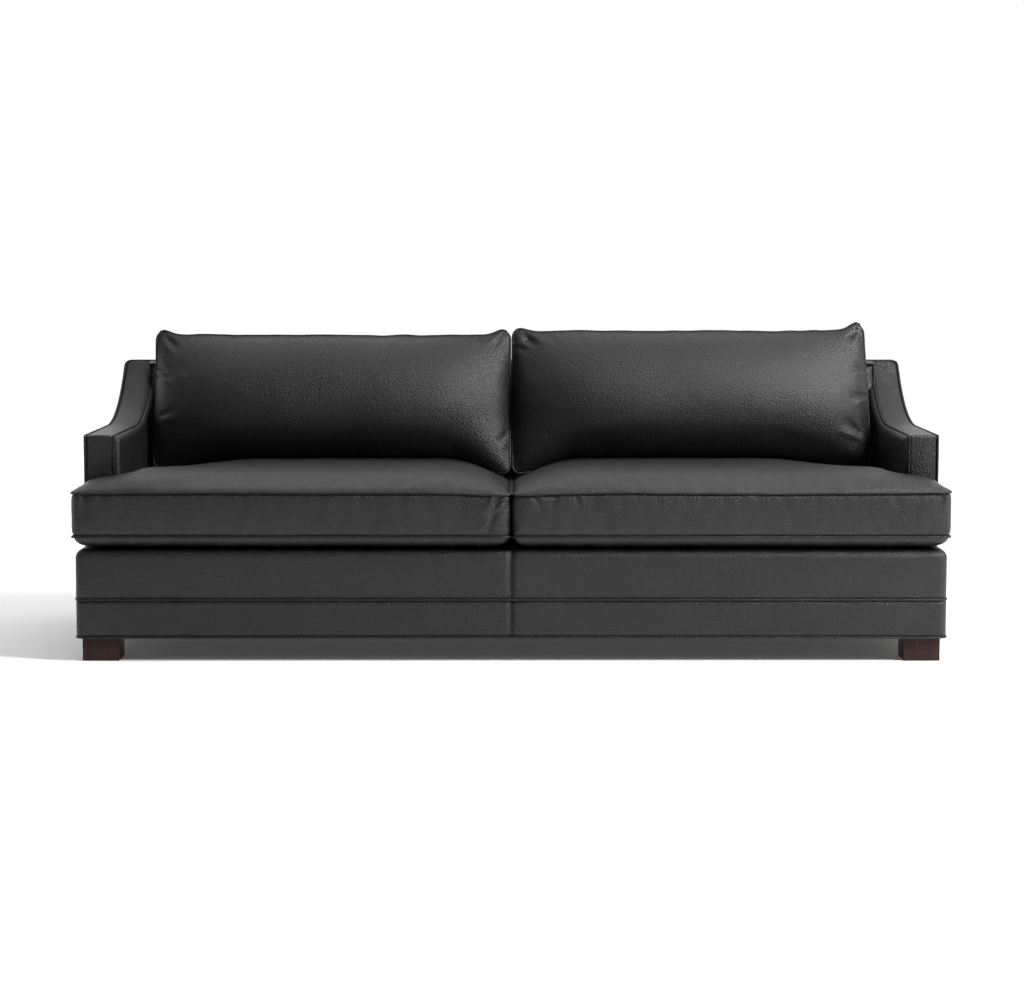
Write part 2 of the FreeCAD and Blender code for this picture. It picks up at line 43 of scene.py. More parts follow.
# main sizes in mm, the same as the solids have
sofa = {
    "baseHalf": 1213.0, "baseFront": -489.0, "backPlane": 497.9, "baseCorner": 26.0, "deck": 315.0,
    "bottomWelt": 68.0, "middleWelt": 174.0, "armFront": -285.0, "armTop": 617.0, "armInner": 1112.0,
    "slopeStart": 110.9, "slopeRadius": 500.0, "armCorner": 8.0, "welt": 3.5, "weltIn": 1.2, "weltOn": 0.4,
    "innerWelt": 1131.0, "rake": math.radians(14), "backStart": 319.9, "backTop": 797.5, "backLip": 789.5,
    "shoulder": 17.0, "coverFoot": 291.0, "seamGap": 1.5,
}


# small tools
def srgb(code):
    parts = [int(code[i:i + 2], 16) / 255 for i in (1, 3, 5)]
    return [c / 12.92 if c <= 0.04045 else ((c + 0.055) / 1.055) ** 2.4 for c in parts] + [1.0]


def connect(tree, node, links):
    # each input is linked to a socket or set to a value
    for name, value in links.items():
        if isinstance(value, bpy.types.NodeSocket):
            tree.links.new(value, node.inputs[name])
        else:
            node.inputs[name].default_value = value


def addNode(tree, kind, links=None, **settings):
    node = tree.nodes.new("ShaderNode" + kind)
    for name, value in settings.items():
        setattr(node, name, value)
    connect(tree, node, links or {})
    return node


def startMaterial(name):
    material = bpy.data.materials.new(name)
    material.use_nodes = True
    tree = material.node_tree
    return material, tree, tree.nodes["Principled BSDF"]


def only(piece):
    bpy.ops.object.select_all(action="DESELECT")
    piece.select_set(True)
    bpy.context.view_layer.objects.active = piece


def setMode(mode):
    bpy.ops.object.mode_set(mode=mode)


def turnOver(piece):
    only(piece)
    setMode("EDIT")
    bpy.ops.mesh.select_all(action="SELECT")
    bpy.ops.mesh.flip_normals()
    setMode("OBJECT")


def cutAway(piece, unwanted):
    # deletes the faces whose centre is unwanted(x, y), in mm, and stays in edit mode
    only(piece)
    setMode("EDIT")
    bpy.ops.mesh.select_all(action="DESELECT")
    setMode("OBJECT")
    for face in piece.data.polygons:
        face.select = unwanted(face.center.x * 1000, face.center.y * 1000)
    setMode("EDIT")
    bpy.ops.mesh.delete(type="FACE")


def mm(x, y, z):
    return Vector((x, y, z)) * 0.001


def ease(value, low, high):
    t = min(max((value - low) / (high - low), 0.0), 1.0)
    return t * t * (3 - 2 * t)


def wobble(x, y, z, size, seed):
    return noise.noise(Vector((x / size + seed * 7.3, y / size - seed * 3.1, z / size + seed * 1.7)))


def backY(z, depth):
    # the raked front of the back at a height, or that far behind it
    return sofa["backStart"] + (z - sofa["deck"]) * math.tan(sofa["rake"]) + depth / math.cos(sofa["rake"])


def shoulder(x, y, z):
    # the rounded outer corner where the arm's slope meets the top of the back
    bend = sofa["shoulder"]
    dx = bend - (sofa["baseHalf"] - abs(x))
    dz = bend - (sofa["backTop"] - z)
    if dx > 0 and dz > 0:
        scale = max(dx, dz) / math.hypot(dx, dz)
        x = math.copysign(sofa["baseHalf"] - bend + dx * scale, x)
        z = sofa["backTop"] - bend + dz * scale
    return x, y, z


def applyModifier(piece, kind, **settings):
    only(piece)
    modifier = piece.modifiers.new(kind, kind)
    for name, value in settings.items():
        setattr(modifier, name, value)
    bpy.ops.object.modifier_apply(modifier=modifier.name)


def gridPiece(name, columns, rows, place, facing):
    # a grid laid over the form by place(u, v), which gives mm
    bpy.ops.mesh.primitive_grid_add(x_subdivisions=columns, y_subdivisions=rows, size=2)
    piece = bpy.context.object
    piece.name = piece.data.name = name
    for vertex in piece.data.vertices:
        vertex.co = mm(*place((vertex.co.x + 1) / 2, (vertex.co.y + 1) / 2))
    total = Vector()
    for face in piece.data.polygons:
        total += face.normal * face.area
    if total.dot(Vector(facing)) < 0:
        turnOver(piece)
    return piece


def mirrorPiece(piece, name):
    # the left-hand copy, with its own mesh turned the right way out
    only(piece)
    bpy.ops.object.duplicate()
    copy = bpy.context.object
    copy.name = copy.data.name = name
    for vertex in copy.data.vertices:
        vertex.co.x = -vertex.co.x
    turnOver(copy)
    return copy


def sewWelt(name, paths, seed, body, node):
    # piping: a cord in a strip of leather, a little uneven along its length
    curve = bpy.data.curves.new(name, "CURVE")
    curve.dimensions = "3D"
    curve.bevel_depth = sofa["welt"] * 0.001
    curve.bevel_resolution = 3
    curve.use_fill_caps = True
    for points, closed in paths:
        spline = curve.splines.new("POLY")
        spline.points.add(len(points) - 1)
        spline.use_cyclic_u = closed
        for knot, p in zip(spline.points, points):
            knot.co = (p[0] * 0.001, p[1] * 0.001, p[2] * 0.001, 1)
            knot.radius = 1 + 0.07 * wobble(p[0], p[1], p[2], 30, seed)
    piece = bpy.data.objects.new(name, curve)
    scene.collection.objects.link(piece)
    only(piece)
    bpy.ops.object.convert(target="MESH")
    piece = bpy.context.object
    piece.name = piece.data.name = name
    dress(piece, piping, body, "leather", node)


def dress(piece, material, body, slotName, *nodes):
    piece.data.materials.clear()
    piece.data.materials.append(material)
    only(piece)
    bpy.ops.object.shade_smooth()
    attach(piece, body)
    if nodes:
        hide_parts(*nodes)
    return piece


def coverPair(right, thick, node):
    # gives a right-hand cover its thickness and makes the left-hand copy
    applyModifier(right, "SOLIDIFY", thickness=thick * 0.001, offset=-1)
    left = mirrorPiece(right, right.name.replace("right", "left"))
    for piece, label in ((right, "right"), (left, "left")):
        dress(piece, leather, "frame", "leather", node + "_" + label)
    return right, left


# materials
def surface(tree, shader, factor, shades, height, relief, values):
    # two shades mixed by the factor, and a relief from the height: its strength and its depth in m
    mixed = {"Factor": factor, 6: srgb(shades[0]), 7: srgb(shades[1])}
    colour = addNode(tree, "Mix", mixed, data_type="RGBA")
    bump = addNode(tree, "Bump", {"Height": height, "Strength": relief[0], "Distance": relief[1]})
    connect(tree, shader, {"Base Color": colour.outputs[2], "Normal": bump.outputs[0], **values})


def makeLeather(name, dark, light, shine):
    # top-grain cowhide, aniline dyed charcoal and pebble embossed, with a thin satin finish:
    # rounded grains that sparkle in the highlights, slow changes of shade over the hide, and painted shade in the
    # creases between the grains
    look = {"grain": 3.6, "pores": 1.8, "hide": 190.0, "dents": 85.0, "drift": 14.0, "bend": 0.0016,
            "poreDepth": 0.2, "glossy": 0.25, "matt": 0.48, "mattFrom": 0.8, "relief": 0.0013,
            "darkest": -0.15, "lightest": 0.55, "ior": 1.48}
    material, tree, skin = startMaterial(name)
    place = addNode(tree, "TexCoord").outputs["Object"]
    drift = addNode(tree, "TexNoise", {"Vector": place, "Scale": 1000 / look["drift"], "Detail": 1.0})
    bent = addNode(tree, "VectorMath", {0: drift.outputs["Color"], "Scale": look["bend"]}, operation="SCALE")
    spot = addNode(tree, "VectorMath", {0: place, 1: bent.outputs[0]}, operation="ADD").outputs[0]
    # the pebbles are drawn a little larger than life, so that they show at this distance
    grain = addNode(tree, "TexVoronoi", {"Vector": spot, "Scale": 1000 / look["grain"]})
    pores = addNode(tree, "TexVoronoi", {"Vector": spot, "Scale": 1000 / look["pores"]})
    hide = addNode(tree, "TexNoise", {"Vector": place, "Scale": 1000 / look["hide"], "Detail": 4.0})
    dents = addNode(tree, "TexNoise", {"Vector": place, "Scale": 1000 / look["dents"], "Detail": 0.0})
    # random tone over the hide, made darker in the creases round each grain as painted shade
    shade = addNode(tree, "Math", {0: hide.outputs[0], 1: grain.outputs["Distance"]}, operation="SUBTRACT")
    tone = addNode(tree, "MapRange", {"Value": shade.outputs[0], "From Min": look["darkest"],
                                      "From Max": look["lightest"]})
    gloss = addNode(tree, "MapRange", {"Value": grain.outputs["Distance"], "From Max": look["mattFrom"],
                                       "To Min": look["glossy"], "To Max": look["matt"]})
    dome = addNode(tree, "Math", {0: grain.outputs["Distance"], 1: 2.0}, operation="POWER")
    fine = addNode(tree, "Math", {0: pores.outputs["Distance"], 1: look["poreDepth"], 2: dome.outputs[0]},
                   operation="MULTIPLY_ADD")
    soft = addNode(tree, "Math", {0: fine.outputs[0], 1: -1.0, 2: dents.outputs[0]},
                   operation="MULTIPLY_ADD")
    surface(tree, skin, tone.outputs[0], (dark, light), soft.outputs[0], (1.0, look["relief"]),
            {"Roughness": gloss.outputs[0], "IOR": look["ior"], "Specular IOR Level": shine})
    return material


def makeWood(name, dark, light, along, grainMm, roughness, shine):
    # stained or bare timber: long streaks along the grain, with fine pores between them
    material, tree, board = startMaterial(name)
    place = addNode(tree, "TexCoord").outputs["Object"]
    stretch = [1.0, 1.0, 1.0]
    stretch[along] = 0.09
    run = addNode(tree, "Mapping", {"Vector": place, "Scale": stretch}).outputs[0]
    streak = addNode(tree, "TexNoise", {"Vector": run, "Scale": 1000 / grainMm, "Detail": 5.0,
                                        "Distortion": 0.6})
    pore = addNode(tree, "TexNoise", {"Vector": run, "Scale": 6000 / grainMm, "Detail": 2.0})
    mixed = addNode(tree, "Math", {0: pore.outputs[0], 1: 0.45, 2: streak.outputs[0]},
                    operation="MULTIPLY_ADD")
    tone = addNode(tree, "MapRange", {"Value": mixed.outputs[0], "From Min": 0.5, "From Max": 0.95})
    surface(tree, board, tone.outputs[0], (dark, light), mixed.outputs[0], (0.35, 0.0006),
            {"Roughness": roughness, "Specular IOR Level": shine})
    return material


def makeCloth(name, dark, light, threadMm, roughness):
    # plain woven cloth: two sets of threads that cross, seen as a fine check; a wave's scale is 20 to the metre
    material, tree, cloth = startMaterial(name)
    place = addNode(tree, "TexCoord").outputs["Object"]
    warp = addNode(tree, "TexWave", {"Vector": place, "Scale": 1000 / threadMm / 20}, bands_direction="X")
    weft = addNode(tree, "TexWave", {"Vector": place, "Scale": 1000 / threadMm / 20}, bands_direction="Y")
    weave = addNode(tree, "Math", {0: warp.outputs[1], 1: weft.outputs[1]}, operation="MULTIPLY")
    fuzz = addNode(tree, "TexNoise", {"Vector": place, "Scale": 1000 / threadMm / 3, "Detail": 3.0})
    mixed = addNode(tree, "Math", {0: fuzz.outputs[0], 1: 0.6, 2: weave.outputs[0]},
                    operation="MULTIPLY_ADD")
    surface(tree, cloth, mixed.outputs[0], (dark, light), mixed.outputs[0], (0.4, 0.0006),
            {"Roughness": roughness, "Sheen Weight": 0.15})
    return material


def makeMetal(name, dark, light, roughness):
    # drawn steel wire and plate: metallic, with faint drawing marks
    material, tree, metal = startMaterial(name)
    place = addNode(tree, "TexCoord").outputs["Object"]
    marks = addNode(tree, "TexNoise", {"Vector": place, "Scale": 400.0, "Detail": 4.0})
    surface(tree, metal, marks.outputs[0], (dark, light), marks.outputs[0], (0.1, 0.0003),
            {"Metallic": 1.0, "Roughness": roughness})
    return material


leather = makeLeather("charcoalPebbledLeather", "#0a0a0b", "#1d1d1e", 0.48)
# the piping is coloured darker than the covers: painted shade for the dark grooves along the seams
piping = makeLeather("blackPipingLeather", "#060607", "#0b0b0c", 0.4)
legWood = makeWood("espressoStainedBeech", "#170a07", "#381c16", 2, 9.0, 0.5, 0.25)
frameWood = makeWood("kilnDriedPoplar", "#a78a5e", "#c9ae80", 0, 14.0, 0.65, 0.4)
plywood = makeWood("birchPlywood", "#b79768", "#d6bd92", 1, 18.0, 0.6, 0.4)
springSteel = makeMetal("oilTemperedWire", "#3a3936", "#5d5b57", 0.38)
boltSteel = makeMetal("zincPlatedSteel", "#9a9a98", "#c4c4c2", 0.3)
zipMetal = makeMetal("nickelPlatedZinc", "#8d8b86", "#b9b7b2", 0.28)
webbing = makeCloth("juteWebbing", "#5d4a30", "#9c8460", 2.4, 0.9)
deckCloth = makeCloth("blackDeckTwill", "#121213", "#2b2b2c", 1.6, 0.9)
dustCloth = makeCloth("spunbondDustCloth", "#0c0c0d", "#1d1d1e", 1.2, 0.95)
zipTape = makeCloth("blackZipTape", "#0d0d0e", "#232324", 1.0, 0.8)
print("materials made")


# soft work
def runCloth(piece, pinned, settings):
    # blows the cover up from inside while its seams are held
    group = piece.vertex_groups.new(name="sewn")
    group.add(pinned, 1.0, "REPLACE")
    only(piece)
    modifier = piece.modifiers.new("cloth", "CLOTH")
    cloth = modifier.settings
    cloth.quality = 5
    cloth.mass = 0.35
    cloth.tension_stiffness = 30
    cloth.compression_stiffness = 30
    cloth.shear_stiffness = 12
    cloth.bending_stiffness = settings["bending"]
    cloth.air_damping = 2.0
    cloth.use_pressure = True
    cloth.uniform_pressure_force = settings["pressure"]
    cloth.shrink_min = settings["shrink"]
    cloth.effector_weights.gravity = 0
    cloth.vertex_group_mass = "sewn"
    modifier.collision_settings.use_collision = False
    modifier.point_cache.frame_end = settings["frames"]
    for count in range(1, settings["frames"] + 1):
        scene.frame_set(count)
    bpy.ops.object.modifier_apply(modifier=modifier.name)
    scene.frame_set(1)
    piece.vertex_groups.remove(piece.vertex_groups["sewn"])


def meshPoints(mesh):
    flat = np.empty(len(mesh.vertices) * 3)
    mesh.vertices.foreach_get("co", flat)
    return flat.reshape(-1, 3)


def capped(before, after, limit):
    # no point moves further than the limit
    move = after - before
    length = np.linalg.norm(move, axis=1, keepdims=True) + 1e-9
    return before + move / length * limit * np.tanh(length / limit)


def sharpSeam(mesh, members):
    # seams stay crisp when the cover is subdivided
    members = set(members)
    crease = mesh.attributes.new("crease_edge", "FLOAT", "EDGE")
    for edge in mesh.edges:
        if edge.vertices[0] in members and edge.vertices[1] in members:
            crease.data[edge.index].value = 1.0


def orderedRing(mesh, indices):
    # the seam's points in order, walked along the mesh's edges
    members = set(indices)
    links = {i: [] for i in members}
    for edge in mesh.edges:
        first, second = edge.vertices
        if first in members and second in members:
            links[first].append(second)
            links[second].append(first)
    start = indices[0]
    path = [start]
    last, here = None, start
    while True:
        following = [n for n in links[here] if n != last]
        if not following or following[0] == start:
            break
        last, here = here, following[0]
        path.append(here)
    return path


def drawIn(piece, seams, depth, reach):
    # the stitching pulls the leather down on both sides of the cord
    spots = []
    for path in seams:
        for first, second in zip(path, path[1:] + path[:1]):
            spots += [first.lerp(second, k / 4) * 0.001 for k in range(4)]
    tree = KDTree(len(spots))
    for i, spot in enumerate(spots):
        tree.insert(spot, i)
    tree.balance()
    moved = []
    for vertex in piece.data.vertices:
        distance = tree.find(vertex.co)[2] * 1000
        if distance < reach:
            moved.append((vertex, vertex.normal * (depth * 0.001 * (1 - distance / reach))))
    for vertex, shift in moved:
        vertex.co -= shift


def fold(x, y, spot):
    # one crease in a panel: a valley with a soft ridge beside it
    startX, startY, degrees, length, width, depth = spot
    turn = math.radians(degrees)
    dx, dy = x - startX, y - startY
    along = dx * math.cos(turn) + dy * math.sin(turn)
    across = dy * math.cos(turn) - dx * math.sin(turn)
    if along < -0.25 * length or along > length or abs(across) > 4 * width:
        return 0.0
    fade = ease(along, -0.25 * length, 0.1 * length) * (1 - ease(along, 0.25 * length, length))
    wide = width * (0.6 + 0.9 * max(along, 0) / length)
    ridge = 0.55 * math.exp(-((across - 1.7 * wide) / wide) ** 2)
    return depth * fade * (ridge - math.exp(-(across / wide) ** 2))


# seat cushions
seat = {
    "inside": 2.2, "arm": 1108.0, "outside": 1218.5, "front": -499.5, "notch": -291.0, "back": 314.5,
    "lowSeam": 350.0, "highSeam": 473.0, "corner": 20.0, "crown": 43.0, "crownRun": 190.0, "sideRun": 215.0,
    "gapRun": 250.0, "hiddenRun": 26.0, "belly": 34.0, "bellyRun": 80.0, "cell": 12.5, "boxingRows": 10, "bulge": 5.5,
    "pressure": 4.0, "frames": 18, "bending": 4.0, "shrink": -0.006, "cap": 8.0,
    "gapSink": 5.0, "gapBackSink": 17.0, "armSink": 36.0, "backSink": 12.0, "gapWide": (10, 200),
    "gapDeep": (-120, 180), "armWide": (760, 1100), "armDeep": (-310, 170), "backDeep": (-40, 240),
    "longWave": (3.2, 430), "shortWave": (1.4, 140), "footWave": (1.2, 260),
    "foldScale": 1.6, "draw": 3.8, "drawReach": 11.0,
}
# creases in the front boxing: x from the middle of the sofa, height, turn, length, width, depth
seatFolds = {
    "right": [(62, 470, -62, 70, 9, 2.6), (128, 471, -110, 60, 10, 2.0), (178, 470, -75, 55, 9, 2.2),
              (1196, 470, -112, 80, 12, 2.0), (1150, 352, 70, 60, 14, 1.4), (640, 471, -84, 50, 16, 1.0)],
    "left": [(30, 468, -64, 95, 10, 4.0), (54, 400, -70, 70, 9, 3.0), (16, 430, -30, 60, 8, 3.2),
             (1180, 471, -92, 95, 14, 2.6), (1130, 470, -80, 60, 18, 1.2), (420, 471, -95, 55, 16, 1.0)],
}


def edgeDistance(x, y, edges):
    corners = [(seat["inside"], seat["front"]), (seat["outside"], seat["front"]), (seat["outside"], seat["notch"]),
               (seat["arm"], seat["notch"]), (seat["arm"], seat["back"]), (seat["inside"], seat["back"])]
    near = 1e9
    for k in edges:
        a, b = corners[k], corners[(k + 1) % 6]
        along = ((x - a[0]) * (b[0] - a[0]) + (y - a[1]) * (b[1] - a[1])) / ((b[0] - a[0]) ** 2 + (b[1] - a[1]) ** 2)
        along = min(max(along, 0.0), 1.0)
        near = min(near, math.hypot(x - a[0] - along * (b[0] - a[0]), y - a[1] - along * (b[1] - a[1])))
    return near


def softRise(distance, run):
    share = min(distance / run, 1.0)
    return math.sqrt(1 - (1 - share) ** 2)


def crownHeight(x, y):
    # domed from the front and the two ends; pressed up where the arm and the back hide the seam
    ends = softRise(seat["outside"] - x, seat["sideRun"]) * softRise(x - seat["inside"], seat["gapRun"])
    front = softRise(edgeDistance(x, y, (0,)), seat["crownRun"])
    hidden = softRise(edgeDistance(x, y, (2, 3, 4)), seat["hiddenRun"])
    return seat["crown"] * ends * front * hidden


def roundOutline(x, y, radius):
    # the outer corners of the outline turned into arcs
    for cx, cy, sx, sy in ((seat["inside"], seat["front"], 1, 1), (seat["outside"], seat["front"], -1, 1),
                           (seat["outside"], seat["notch"], -1, -1), (seat["arm"], seat["back"], -1, -1),
                           (seat["inside"], seat["back"], 1, -1)):
        dx = radius - (x - cx) * sx
        dy = radius - (y - cy) * sy
        if dx > 0 and dy > 0:
            scale = max(dx, dy) / math.hypot(dx, dy)
            x = cx + sx * (radius - dx * scale)
            y = cy + sy * (radius - dy * scale)
    return x, y


def settle(p, side):
    # the whole cushion gives a little: lower at the middle gap and by the back corners
    x, y, z = p * 1000
    high = ease(z, seat["lowSeam"] - 20, seat["highSeam"])
    gap = seat["gapSink"] + seat["gapBackSink"] * ease(y, *seat["gapDeep"])
    sink = gap * (1 - ease(x, *seat["gapWide"])) * high
    sink += seat["armSink"] * ease(y, *seat["armDeep"]) * ease(x, *seat["armWide"]) * high
    sink += seat["backSink"] * ease(y, *seat["backDeep"]) * high
    waves = []
    for seed, name in ((3, "longWave"), (4, "shortWave"), (5, "footWave")):
        depth, size = seat[name]
        waves.append(depth * wobble(x * side, y, 0, size, seed))
    wave = (waves[0] + waves[1]) * high + waves[2] * (1 - high)
    return Vector((x, y, max(z - sink + wave, sofa["deck"] + 0.6))) * 0.001


def makeSeat(side, label):
    columns = round((seat["outside"] - seat["inside"]) / seat["cell"])
    rows = round((seat["back"] - seat["front"]) / seat["cell"])
    armColumn = round(columns * (seat["arm"] - seat["inside"]) / (seat["outside"] - seat["inside"]))
    notchRow = round(rows * (seat["notch"] - seat["front"]) / (seat["back"] - seat["front"]))

    def lay(u, v):
        x = np.interp(round(u * columns), [0, armColumn, columns], [seat["inside"], seat["arm"], seat["outside"]])
        y = np.interp(round(v * rows), [0, notchRow, rows], [seat["front"], seat["notch"], seat["back"]])
        return x, y, seat["highSeam"]

    piece = gridPiece("seatCushion_" + label, columns, rows, lay, (0, 0, 1))
    mesh = piece.data
    cutAway(piece, lambda x, y: x > seat["arm"] and y > seat["notch"])
    bpy.ops.mesh.select_all(action="SELECT")
    drop = (seat["highSeam"] - seat["lowSeam"]) / seat["boxingRows"] * 0.001
    for _ in range(seat["boxingRows"]):
        bpy.ops.mesh.extrude_region_move(TRANSFORM_OT_translate={"value": (0, 0, -drop)})
    bpy.ops.mesh.select_all(action="SELECT")
    bpy.ops.mesh.normals_make_consistent(inside=False)
    setMode("OBJECT")

    # crown above the top seam, belly below the bottom one
    sewn, rings = [], {}
    for vertex in mesh.vertices:
        x, y, z = vertex.co * 1000
        inside = edgeDistance(x, y, range(6))
        atTop, atFoot = z > seat["highSeam"] - 1, z < seat["lowSeam"] + 1
        if inside < 0.5:
            if atTop or atFoot:
                sewn.append(vertex.index)
                rings.setdefault(atTop, []).append(vertex.index)
        elif atTop:
            z += crownHeight(x, y) + 0.5 * wobble(x * side, y, z, 60, 5)
        elif atFoot:
            z -= seat["belly"] * softRise(inside, seat["bellyRun"])
            if inside > 40:
                sewn.append(vertex.index)
        x, y = roundOutline(x, y, seat["corner"])
        vertex.co = mm(x, y, z)
    before = meshPoints(mesh)
    runCloth(piece, sewn, seat)
    height = before[:, 2:3]
    boxing = (height < (seat["highSeam"] - 1) * 0.001) & (height > (seat["lowSeam"] + 1) * 0.001)
    after = capped(before, meshPoints(mesh), np.where(boxing, seat["bulge"], seat["cap"]) * 0.001)
    for vertex, p in zip(mesh.vertices, after):
        vertex.co = settle(Vector(p), side)
    sharpSeam(mesh, rings[True] + rings[False])
    seams = [[mesh.vertices[i].co * 1000 for i in orderedRing(mesh, ring)] for ring in rings.values()]
    applyModifier(piece, "SUBSURF", levels=1, render_levels=1)
    for vertex in mesh.vertices:
        x, y, z = vertex.co * 1000
        if y < seat["front"] + 12 and seat["lowSeam"] < z < seat["highSeam"]:
            y -= seat["foldScale"] * sum(fold(x, z, spot) for spot in seatFolds[label])
            vertex.co = mm(x, y, z)
    drawIn(piece, seams, seat["draw"], seat["drawReach"])
    if side < 0:
        for vertex in mesh.vertices:
            vertex.co.x = -vertex.co.x
        turnOver(piece)
        seams = [[Vector((-p.x, p.y, p.z)) for p in seam] for seam in seams]
    return piece, seams


seats = []
for side, label in ((1, "right"), (-1, "left")):
    piece, seams = makeSeat(side, label)
    body = "seat_cushion_" + label
    dress(piece, leather, body, "leather", "seat_cushion_cover_" + label, "seat_cushion_core_" + label)
    sewWelt("seatWelts_" + label, [(seam, True) for seam in seams], 2 + side, body, "seat_cushion_welts_" + label)
    seats.append(piece)
    print("seat cushion", label, len(piece.data.polygons), "faces")


# back cushions
pillow = {
    "inner": 3.9, "outer": 1099.0, "low": -30.0, "high": 382.0, "earRun": 34.0, "corner": 24.0,
    "thick": 248.0, "cell": 12.5, "foot": 524.0, "middle": 125.0,
    "pressure": 3.0, "frames": 14, "bending": 6.0, "shrink": 0.0, "cap": 2.6, "smoothing": 8,
    "sideFall": 3.6, "sideRound": 0.62, "topFall": 2.0, "topRound": 0.66, "fuller": 0.2, "earIn": 20,
    "gapDroop": 30.0, "armDroop": 18.0, "gapForward": 40.0, "armForward": 10.0,
    "footHigh": (-30, 110), "gapWide": (5, 190), "armWide": (900, 1095),
    "foldScale": 1.8, "draw": 3.0, "drawReach": 10.0, "lean": 3.0, "rest": 2.0,
}
# how each one differs: drop of the top edge, height of its two ears, how far the arm side is drawn in at
# the top, middle and foot; folds are x from the middle of the sofa, height, turn, length, width, depth
pillowHabit = {
    "right": {"drop": 2.0, "gapEar": 9.0, "armEar": 27.0, "drawn": (17.0, 8.0, 2.0),
              "folds": [(1078, 395, 222, 90, 10, 6.0), (1094, 262, 186, 75, 10, 6.0), (1098, 180, 196, 85, 10, 6.5),
                        (1060, 60, 150, 80, 14, 4.0), (16, 390, -48, 110, 11, 6.5), (40, 395, -68, 90, 12, 4.5),
                        (10, 330, -20, 70, 10, 3.5), (120, 384, -80, 60, 10, 2.6), (210, 384, -97, 55, 9, 2.4),
                        (300, 384, -75, 60, 10, 1.8), (520, 384, -90, 45, 10, 1.6), (760, 384, -84, 45, 12, 1.4)]},
    "left": {"drop": 16.0, "gapEar": 17.0, "armEar": 17.0, "drawn": (8.0, 11.0, 8.0),
             "folds": [(1080, 382, 228, 110, 10, 6.5), (1088, 265, 205, 70, 9, 5.5), (1088, 235, 190, 75, 9, 5.0),
                       (1070, 110, 165, 70, 12, 3.0), (14, 385, -55, 90, 10, 5.0), (30, 50, 140, 90, 12, 4.5),
                       (96, 378, -80, 55, 9, 3.0), (180, 378, -100, 50, 9, 2.2), (330, 378, -84, 55, 10, 2.0),
                       (560, 378, -90, 40, 10, 1.4), (860, 378, -95, 55, 10, 2.0), (1000, 378, -78, 60, 10, 2.4)]},
}


def onSeat(p, trees):
    # leans on the back and rests on the seat, with no point below either
    p.y = min(p.y, backY(p.z * 1000, -pillow["lean"]) * 0.001)
    for tree in trees:
        hit = tree.ray_cast(Vector((p.x, p.y, 2.0)), Vector((0, 0, -1)))[0]
        if hit:
            p.z = max(p.z, hit.z + pillow["rest"] * 0.001)
    return p


